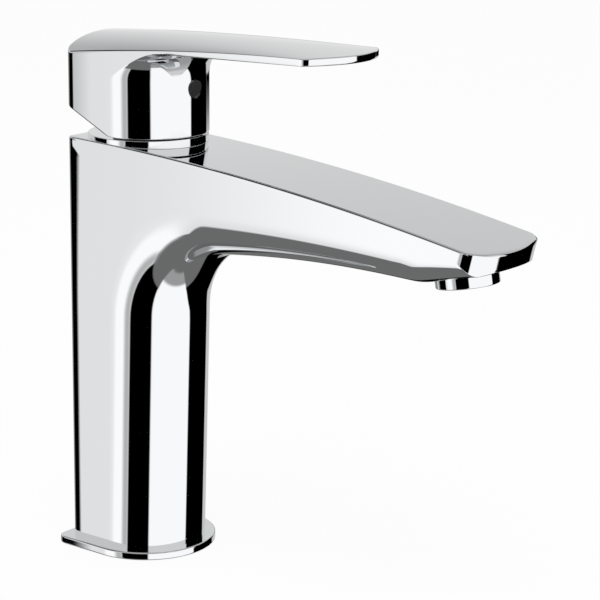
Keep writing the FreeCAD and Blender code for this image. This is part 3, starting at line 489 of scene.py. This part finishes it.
# Cartridge and its nut, inside the mouth of the body: a brass nut clamps an acetal shell with a pair of
# lapped alumina discs, black rubber seals and a steel pin. The lever's steel stem turns and tilts in it.
moulded_grain = bpy.data.node_groups.new("moulded_grain", "ShaderNodeTree")
grain_scale = moulded_grain.interface.new_socket("Scale", in_out="INPUT", socket_type="NodeSocketFloat")
grain_scale.default_value = 900.0
moulded_grain.interface.new_socket("Height", in_out="OUTPUT", socket_type="NodeSocketFloat")
grain_in = moulded_grain.nodes.new("NodeGroupInput")
grain_out = moulded_grain.nodes.new("NodeGroupOutput")
grain_place = moulded_grain.nodes.new("ShaderNodeTexCoord")
grain_noise = moulded_grain.nodes.new("ShaderNodeTexNoise")
grain_noise.inputs["Detail"].default_value = 3.0
moulded_grain.links.new(grain_place.outputs["Object"], grain_noise.inputs["Vector"])
moulded_grain.links.new(grain_in.outputs["Scale"], grain_noise.inputs["Scale"])
moulded_grain.links.new(grain_noise.outputs["Fac"], grain_out.inputs["Height"])


def grained_material(name, colour, scale, depth, clear, hazed):
    """A moulded material: the gloss varies, and a fine grain stands on the surface."""
    material = hazed_material(name, colour, 0.0, scale / 20, clear, hazed)
    nodes = material.node_tree.nodes
    grain = nodes.new("ShaderNodeGroup")
    grain.node_tree = moulded_grain
    grain.inputs["Scale"].default_value = scale
    relief = nodes.new("ShaderNodeBump")
    relief.inputs["Strength"].default_value = 0.5
    relief.inputs["Distance"].default_value = depth
    material.node_tree.links.new(grain.outputs["Height"], relief.inputs["Height"])
    material.node_tree.links.new(relief.outputs["Normal"], nodes["Principled BSDF"].inputs["Normal"])
    return material


def dress(material, *names):
    """Give carried-over CAD nodes a finish."""
    for name in names:
        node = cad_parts[name]
        node.data.materials.clear()
        node.data.materials.append(material)


nut_brass = hazed_material("turned_brass", (0.72, 0.53, 0.22), 1.0, 300.0, 0.18, 0.32)
bare_steel = hazed_material("bare_steel", (0.60, 0.61, 0.62), 1.0, 300.0, 0.20, 0.34)
lapped_alumina = grained_material("lapped_alumina", (0.90, 0.89, 0.85), 2500.0, 0.00001, 0.22, 0.30)
acetal = grained_material("moulded_acetal", (0.84, 0.85, 0.83), 1500.0, 0.00003, 0.35, 0.50)
stop_plastic = grained_material("stop_ring_plastic", (0.30, 0.30, 0.31), 1500.0, 0.00003, 0.35, 0.50)
seal_rubber = grained_material("seal_rubber", (0.018, 0.018, 0.019), 1800.0, 0.00005, 0.55, 0.75)
dress(nut_brass, "retaining_nut")
dress(acetal, "cartridge_housing", "cartridge_base", "turret", "disc_carrier")
dress(lapped_alumina, "fixed_disc", "moving_disc")
dress(stop_plastic, "stop_ring")
dress(bare_steel, "pivot_pin", "lever_stem", "set_screw")
dress(seal_rubber, "base_gasket", "cartridge_o_ring", "inlet_seals", "disc_seals", "aerator_washer")


# Cap ring: a turned, plated brass ring that slips over the mouth of the body and hides the nut.
# Its lower edge is cut to the slope of the body's top, and its back to the plane of the body's back.
RING_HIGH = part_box("cap_ring")[1]
RING_RADIUS = RING_HIGH.x
RING_BORE = 0.02005
RING_EDGE = 0.0004
LID_BORE = 0.0121
LID_THICKNESS = 0.0009
RING_STEPS = 192


def ring_row(radius, height=None):
    """One row of the ring at a height, or on the top of the body."""
    row = []
    for step in range(RING_STEPS):
        turn = 2 * math.pi * step / RING_STEPS
        y = min(radius * math.sin(turn), BACK)
        row.append((radius * math.cos(turn), y, body_top(y) if height is None else height))
    return row


ring_rows = [
    ring_row(RING_BORE),
    ring_row(RING_RADIUS),
    ring_row(RING_RADIUS, RING_HIGH.z),
    ring_row(LID_BORE, RING_HIGH.z),
    ring_row(LID_BORE, RING_HIGH.z - LID_THICKNESS),
    ring_row(RING_BORE, RING_HIGH.z - LID_THICKNESS),
    ring_row(RING_BORE),
]
cap_ring = break_edges(skin("polished_cap_ring", ring_rows), RING_EDGE)
cap_ring.data.materials.append(chrome)
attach(cap_ring, "faucet")
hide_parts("cap_ring")


# Lever handle: one plated zinc casting. A hub over the ring flares into a thin paddle, under a crowned top
# that rises and flattens towards the tip. A set screw in the hub's front clamps it on the stem, and a moulded
# plug closes the screw's hole.
LEVER_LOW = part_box("lever_handle")[0]
RIM = LEVER_LOW.z
LEVER_TIP = LEVER_LOW.y
HUB_RADIUS = 0.0235
HUB_NOSE = 0.02244
FLARE_RADIUS = 0.011
PADDLE_UNDERSIDE = RIM + 0.0335
CAVITY_RADIUS = 0.0165
CAVITY_CEILING = RIM + 0.014
RELIEF_START = 0.0003
RELIEF_SLOPE = math.tan(math.radians(25.5))
TAPER_START = 0.002
TAPER = 0.0126
TIP_BOW = 0.028
PADDLE_CORNER = 0.005
PADDLE_LIFT = math.tan(math.radians(1.5))
LIFT_START = 0.036
SIDE_HEIGHT = 0.02997
SIDE_RISE = 0.1229
SIDE_FALL = 0.4960
CROWN = 0.00662
CROWN_THINNING = 0.0496
CROWN_OVERHANG = 0.001
LEVER_EDGE = 0.0005
LOWER_EDGE = 0.0009
RIM_EDGE = 0.0003
PIVOT_HEIGHT = 0.1615
STEM_TILT = math.radians(11)
SCREW_RISE = 0.025
PLUG_RADIUS = 0.0035
PLUG_DEPTH = 0.003
PLUG_CLEARANCE = 0.00008
PLUG_STEPS = 64
FLARE_STEPS = 12
CROWN_STEPS = 30
WALL_SHARES = (0.015, 0.04, 0.2, 0.4, 0.6, 0.8, 0.96, 1.0)
UNDER_SHARES = (0.15, 0.3, 0.45, 0.6, 0.75, 0.9, 0.98, 1.0)
SIDE_SHARES = (0.05, 0.35, 0.65, 0.95, 1.0)


def paddle_half(y):
    """Half the width of the lever at a place along it."""
    return BACK_HALF - TAPER * max(0.0, TAPER_START - y)


def lever_top(x, y):
    """Height of the crowned top of the lever: across it, a half ellipse that reaches past its sides."""
    along = BACK - y
    edge = RIM + SIDE_HEIGHT + SIDE_RISE * along - SIDE_FALL * along ** 2
    crown = CROWN - CROWN_THINNING * along
    half = paddle_half(y)
    reach = half + CROWN_OVERHANG
    level = math.sqrt(1 - (half / reach) ** 2)
    return edge + crown * (math.sqrt(1 - (min(abs(x), half) / reach) ** 2) - level) / (1 - level)


def run(start, end, steps):
    """Points on a straight run, without its ends."""
    return [tuple(Vector(start).lerp(Vector(end), step / steps)) for step in range(1, steps)]


def lever_outline():
    """The lever seen from above, as a closed line of points."""
    bow_centre = Vector((0, LEVER_TIP + TIP_BOW))
    shoulder = Vector((BACK_HALF, TAPER_START))
    side_way = Vector((-TAPER, -1)).normalized()
    offset = shoulder + Vector((-1, TAPER)).normalized() * PADDLE_CORNER - bow_centre
    along = offset.dot(side_way)
    advance = -along + math.sqrt(along ** 2 - offset.length_squared + (TIP_BOW - PADDLE_CORNER) ** 2)
    spoke = offset + side_way * advance
    bow_end = math.degrees(math.atan2(spoke.y, spoke.x))
    tip = arc(bow_centre, TIP_BOW, -90, bow_end, 24)
    tip_arc = arc(bow_centre + spoke, PADDLE_CORNER, bow_end, -math.degrees(math.atan(TAPER)), 10)
    back_arc = arc((BACK_HALF - BACK_CORNER, BACK - BACK_CORNER), BACK_CORNER, 0, 90, 10)
    side = run(tip_arc[-1], shoulder, 70) + [tuple(shoulder)] + run(shoulder, back_arc[0], 14)
    right = tip + tip_arc[1:] + side + back_arc + run(back_arc[-1], (0, BACK), 12) + [(0, BACK)]
    return right + [(-x, y) for x, y in reversed(right[1:-1])]


lever_line = lever_outline()


def lever_row(place):
    """One row of the lever: place turns an outline point's distance and direction into radius and height."""
    row = []
    for x, y in lever_line:
        reach = math.hypot(x, y)
        radius, height = place(reach, Vector((x, y)) / reach)
        row.append((x / reach * radius, y / reach * radius, height))
    return row


def rim_height(y):
    """Height of the hub's lower rim, which is cut away at the back so that the lever can be lifted."""
    return RIM + RELIEF_SLOPE * max(0.0, y - RELIEF_START)


def hub_wall(reach, way):
    """How far out the hub's wall is in a direction: its flat back and sides run into a round front."""
    setback = HUB_RADIUS - HUB_NOSE
    front = math.sqrt(HUB_NOSE ** 2 - (setback * way.x) ** 2) - setback * way.y
    return min(reach, front) if front * way.y < -setback else reach


def flare(reach, way, share):
    """Radius and height at a share of the way up the flare, which ends early at the sides."""
    wall = hub_wall(reach, way)
    full = math.acos(max(0.0, 1 - (reach - wall) / FLARE_RADIUS))
    return (wall + FLARE_RADIUS * (1 - math.cos(full * share)),
            PADDLE_UNDERSIDE - FLARE_RADIUS * (1 - math.sin(full * share)))


def eased(start, corner, end, share):
    """A point of the small round that replaces a corner between two edges of a section."""
    first = Vector(start).lerp(Vector(corner), share)
    return tuple(first.lerp(Vector(corner).lerp(Vector(end), share), share))


def rim_row(share):
    """A row of the rounded lower edge of the hub."""
    def place(reach, way):
        radius = flare(reach, way, 0.0)[0]
        low = rim_height(radius * way.y)
        low_in = rim_height((radius - RIM_EDGE) * way.y)
        return eased((radius - RIM_EDGE, low_in), (radius, low), (radius, low + RIM_EDGE), share)
    return lever_row(place)


def wall_row(share):
    """A row of the hub's upright wall, from the rim to the foot of the flare."""
    def place(reach, way):
        radius, foot = flare(reach, way, 0.0)
        low = rim_height(radius * way.y) + RIM_EDGE
        return radius, low + (foot - low) * share
    return lever_row(place)


def lift(y):
    """How far the underside of the paddle has risen at a place along it."""
    return PADDLE_LIFT * max(0.0, -y - LIFT_START)


def lower_edge(reach, way):
    """Where the paddle's underside starts, the height there, and the size of the round at its outer edge."""
    radius, height = flare(reach, way, 1.0)
    return radius, height, min(LOWER_EDGE, (reach - radius) / 2)


def under_row(share):
    """A row of the paddle's underside, from the end of the flare to the outline."""
    def place(reach, way):
        start, height, edge = lower_edge(reach, way)
        radius = start + (reach - edge - start) * share
        return radius, height + lift(radius * way.y)
    return lever_row(place)


def lower_edge_row(share):
    """A row of the round between the paddle's underside and its thin side."""
    def place(reach, way):
        height, edge = lower_edge(reach, way)[1:]
        low = height + lift(reach * way.y)
        low_in = height + lift((reach - edge) * way.y)
        return eased((reach - edge, low_in), (reach, low), (reach, low + edge), share)
    return lever_row(place)


def side_row(share):
    """A row of the thin side of the lever, between its two rounds."""
    def place(reach, way):
        height, edge = lower_edge(reach, way)[1:]
        low = height + lift(reach * way.y) + edge
        return reach, low + (lever_top(*(way * reach)) - LEVER_EDGE - low) * share
    return lever_row(place)


def upper_edge_row(share):
    """A row of the round between the thin side and the crowned top."""
    def place(reach, way):
        corner = lever_top(*(way * reach))
        inset = reach - LEVER_EDGE
        return eased((reach, corner - LEVER_EDGE), (reach, corner), (inset, lever_top(*(way * inset))), share)
    return lever_row(place)


def top_row(share):
    """A row of the crowned top, from its round edge to the middle of the hub."""
    def place(reach, way):
        radius = (reach - LEVER_EDGE) * share
        return radius, lever_top(*(way * radius))
    return lever_row(place)


lever_rows = [
    lever_row(lambda reach, way: (CAVITY_RADIUS, CAVITY_CEILING)),
    lever_row(lambda reach, way: (CAVITY_RADIUS, rim_height(CAVITY_RADIUS * way.y))),
]
lever_rows += [rim_row(step / 4) for step in range(5)]
lever_rows += [wall_row(share) for share in WALL_SHARES]
for step in range(1, FLARE_STEPS + 1):
    lever_rows.append(lever_row(lambda reach, way: flare(reach, way, step / FLARE_STEPS)))
lever_rows += [under_row(share) for share in UNDER_SHARES]
lever_rows += [lower_edge_row(step / 4) for step in range(1, 5)]
lever_rows += [side_row(share) for share in SIDE_SHARES]
lever_rows += [upper_edge_row(step / 5) for step in range(1, 6)]
lever_rows += [top_row(share) for share in (0.995, 0.98)]
lever_rows += [top_row(1 - step / CROWN_STEPS) for step in range(1, CROWN_STEPS)]
stem_place = Matrix.Translation((0, 0, PIVOT_HEIGHT)) @ Matrix.Rotation(STEM_TILT, 4, "X")
plug_place = stem_place @ Matrix.Translation((0, 0, SCREW_RISE)) @ Matrix.Rotation(math.pi / 2, 4, "X")
plug_face = (HUB_RADIUS - SCREW_RISE * math.sin(STEM_TILT)) / math.cos(STEM_TILT)
hole_radius = PLUG_RADIUS + PLUG_CLEARANCE
plug_profile = [(hole_radius, plug_face - PLUG_DEPTH), (hole_radius, 2 * HUB_RADIUS)]
plug_hole = turned("plug_hole", plug_profile, plug_place, PLUG_STEPS)
lever = hollow(skin("polished_lever", lever_rows, close_start=True, close_end=True), [plug_hole])
lever.data.materials.append(chrome)
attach(lever, "lever")
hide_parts("lever_handle")
plug_plastic = grained_material("plug_plastic", (0.05, 0.05, 0.052), 1200.0, 0.00001, 0.10, 0.18)
dress(plug_plastic, "index_plug")


# Aerator: a plated brass collar screwed into the underside of the tip, with a moulded plastic cell insert in
# its mouth. Its strainer and washer sit above it in the spout.
COLLAR_BORE = 0.0083
COLLAR_LIP = 0.0008
COLLAR_MOUTH = 0.0074
COLLAR_EDGE = 0.0005
COLLAR_STEPS = 128
collar_profile = [
    (COLLAR_MOUTH, 0.0),
    (COLLAR_RADIUS, 0.0),
    (COLLAR_RADIUS, COLLAR_HEIGHT),
    (COLLAR_THREAD, COLLAR_HEIGHT),
    (COLLAR_THREAD, COLLAR_TOP),
    (COLLAR_BORE, COLLAR_TOP),
    (COLLAR_BORE, COLLAR_LIP),
    (COLLAR_MOUTH, COLLAR_LIP),
    (COLLAR_MOUTH, 0.0),
]
collar_rows = turned_rows(collar_profile, AERATOR_PLACE, COLLAR_STEPS)
collar = break_edges(skin("polished_aerator_collar", collar_rows), COLLAR_EDGE)
collar.data.materials.append(chrome)
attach(collar, "faucet")
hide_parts("aerator_collar")
cell_plastic = grained_material("aerator_cells", (0.55, 0.56, 0.57), 1500.0, 0.00002, 0.30, 0.45)
dress(cell_plastic, "aerator_insert", "aerator_strainer")


# Studio: a white floor under a white surround, with tall dark and bright cards that only the plating mirrors.
# The camera stands to the left of the spout, above the lever.
CAMERA_EYE = Vector((-0.6366, -0.5706, 0.3114))
CAMERA_YAW = math.radians(52.034)
CAMERA_PITCH = math.radians(13.137)
CAMERA_ROLL = math.radians(0.501)
camera_data = bpy.data.cameras.new("camera")
camera_data.sensor_width = 36.0
camera_data.lens = 135.93
camera_data.shift_y = -0.06
camera = bpy.data.objects.new("camera", camera_data)
bpy.context.scene.collection.objects.link(camera)
bpy.context.scene.camera = camera
camera_turn = Matrix.Rotation(-CAMERA_YAW, 4, "Z") @ Matrix.Rotation(math.pi / 2 - CAMERA_PITCH, 4, "X")
camera.matrix_world = Matrix.Translation(CAMERA_EYE) @ camera_turn @ Matrix.Rotation(CAMERA_ROLL, 4, "Z")


def seen_mask(tree):
    """A mask that is 1 for what the camera sees, directly, in a mirror or through glass, and 0 for light."""
    path = tree.nodes.new("ShaderNodeLightPath")
    seen = path.outputs["Is Camera Ray"]
    for ray in ("Is Glossy Ray", "Is Transmission Ray"):
        either = tree.nodes.new("ShaderNodeMath")
        either.operation = "MAXIMUM"
        tree.links.new(seen, either.inputs[0])
        tree.links.new(path.outputs[ray], either.inputs[1])
        seen = either.outputs[0]
    return seen


world = bpy.data.worlds.new("white_surround")
bpy.context.scene.world = world
world.use_nodes = True
surround = world.node_tree
ambient = surround.nodes["Background"]
ambient.inputs["Color"].default_value = (1, 1, 1, 1)
ambient.inputs["Strength"].default_value = 0.7
white = surround.nodes.new("ShaderNodeBackground")
white.inputs["Color"].default_value = (1, 1, 1, 1)
white.inputs["Strength"].default_value = 1.0
choice = surround.nodes.new("ShaderNodeMixShader")
surround.links.new(seen_mask(surround), choice.inputs["Fac"])
surround.links.new(ambient.outputs[0], choice.inputs[1])
surround.links.new(white.outputs[0], choice.inputs[2])
surround.links.new(choice.outputs[0], surround.nodes["World Output"].inputs["Surface"])

FLOOR_RADIUS = 4.0
FLOOR_DROP = 0.0004
FLOOR_WHITENESS = 0.93
bpy.ops.mesh.primitive_circle_add(
    vertices=96, radius=FLOOR_RADIUS, fill_type="NGON", location=(0, 0, -FLOOR_DROP),
)
floor = bpy.context.object
floor.name = "white_floor"
floor_white = bpy.data.materials.new("white_floor")
floor_white.use_nodes = True
floor_tree = floor_white.node_tree
floor_matt = floor_tree.nodes["Principled BSDF"]
floor_matt.inputs["Base Color"].default_value = (0.9, 0.9, 0.9, 1)
floor_matt.inputs["Roughness"].default_value = 0.8
floor_glow = floor_tree.nodes.new("ShaderNodeEmission")
floor_share = floor_tree.nodes.new("ShaderNodeMath")
floor_share.operation = "MULTIPLY"
floor_share.inputs[1].default_value = FLOOR_WHITENESS
floor_mix = floor_tree.nodes.new("ShaderNodeMixShader")
floor_tree.links.new(seen_mask(floor_tree), floor_share.inputs[0])
floor_tree.links.new(floor_share.outputs[0], floor_mix.inputs["Fac"])
floor_tree.links.new(floor_matt.outputs[0], floor_mix.inputs[1])
floor_tree.links.new(floor_glow.outputs[0], floor_mix.inputs[2])
floor_tree.links.new(floor_mix.outputs[0], floor_tree.nodes["Material Output"].inputs["Surface"])
floor.data.materials.append(floor_white)
floor.visible_glossy = False

TENT_RADIUS = 2.5
TENT_CENTRE = Vector((0, 0, 0.12))
TENT_STEPS = 180
WALL_TONE = 0.85
ROOF_DARKENING = 0.45
ROOF_RISE = 50
GROUND_TONE = 0.16
GROUND_RISE = -45
GROUND_FEATHER = 2
CAMERA_SIDE = math.atan2(CAMERA_EYE.y, CAMERA_EYE.x)


def over(value, start, end, feather):
    """How far a value is inside a range with soft ends, from 0 to 1."""
    inside = min(value - start, end - value)
    share = min(1.0, max(0.0, inside / feather + 0.5))
    return share * share * (3 - 2 * share)


# Cards of the tent: angles to the right of the camera, heights and feathers, in degrees, and brightness.
TENT_CARDS = [
    ((-79, -57), (-46, 8), 10, 1.10),
    ((-57, -45), (-46, 8), 10, 0.50),
    ((141, 181), (-46, 2), 3, 0.60),
    ((-171, -120), (-28, 4), 6, 0.25),
    ((-122, -86), (-28, 4), 2, 0.0),
    ((-181, -86), (-91, -28), 2, 0.16),
    ((-45, 0), (-46, 26), 0.8, 0.0),
    ((1, 85), (4, 26), 5, 0.78),
    ((1, 85), (-74, -50), 6, 0.36),
    ((1, 85), (-56, 6), 5, 1.08),
    ((85, 141), (-36, 26), 0.8, 0.0),
    ((141, 171), (-8.1, 4), 0.8, 0.0),
    ((85, 181), (-50, -24), 1, 0.0),
    ((-114, -66), (25, 60), 4, 0.0),
]


def tent_tone(turn, rise):
    """Brightness of the tent: pale walls, a roof that darkens upwards and a dark ground, behind the cards."""
    tone = WALL_TONE - ROOF_DARKENING * min(1.0, max(0.0, rise) / ROOF_RISE)
    tone += (GROUND_TONE - tone) * over(rise, -math.inf, GROUND_RISE, GROUND_FEATHER)
    for (start, end), (low, high), feather, brightness in TENT_CARDS:
        tone += (brightness - tone) * over(turn, start, end, feather) * over(rise, low, high, feather)
    return tone


tent_shape = bmesh.new()
tent_layer = tent_shape.verts.layers.float.new("tone")
tent_rows = []
for row in range(TENT_STEPS + 1):
    rise = -90 + 180 * row / TENT_STEPS
    tent_row = []
    for step in range(2 * TENT_STEPS):
        turn = -180 + 180 * step / TENT_STEPS
        way = math.radians(turn) + CAMERA_SIDE
        height = math.radians(rise)
        level = math.cos(height)
        spot = Vector((level * math.cos(way), level * math.sin(way), math.sin(height))) * TENT_RADIUS
        corner = tent_shape.verts.new(spot + TENT_CENTRE)
        corner[tent_layer] = tent_tone(turn, rise)
        tent_row.append(corner)
    tent_rows.append(tent_row)
join_rows(tent_shape, tent_rows)
tent_mesh = bpy.data.meshes.new("light_tent")
tent_shape.to_mesh(tent_mesh)
tent_shape.free()
tent = bpy.data.objects.new("light_tent", tent_mesh)
bpy.context.scene.collection.objects.link(tent)
tent_glow = bpy.data.materials.new("light_tent")
tent_glow.use_nodes = True
tent_glow.cycles.emission_sampling = "NONE"
tent_tree = tent_glow.node_tree
tent_tones = tent_tree.nodes.new("ShaderNodeAttribute")
tent_tones.attribute_name = "tone"
tent_light = tent_tree.nodes.new("ShaderNodeEmission")
tent_tree.links.new(tent_tones.outputs["Fac"], tent_light.inputs["Strength"])
tent_tree.links.new(tent_light.outputs[0], tent_tree.nodes["Material Output"].inputs["Surface"])
tent_mesh.materials.append(tent_glow)
tent.visible_camera = False
tent.visible_diffuse = False
tent.visible_shadow = False
tent.visible_transmission = False

lamp_data = bpy.data.lights.new("soft_lamp", "AREA")
lamp_data.shape = "SQUARE"
lamp_data.size = 1.2
lamp_data.energy = 12.0
lamp = bpy.data.objects.new("soft_lamp", lamp_data)
lamp.location = (-0.6, -0.4, 1.6)
lamp.rotation_euler = (-lamp.location).to_track_quat("-Z", "Y").to_euler()
bpy.context.scene.collection.objects.link(lamp)
lamp.visible_glossy = False
bpy.context.scene.view_settings.view_transform = "Standard"
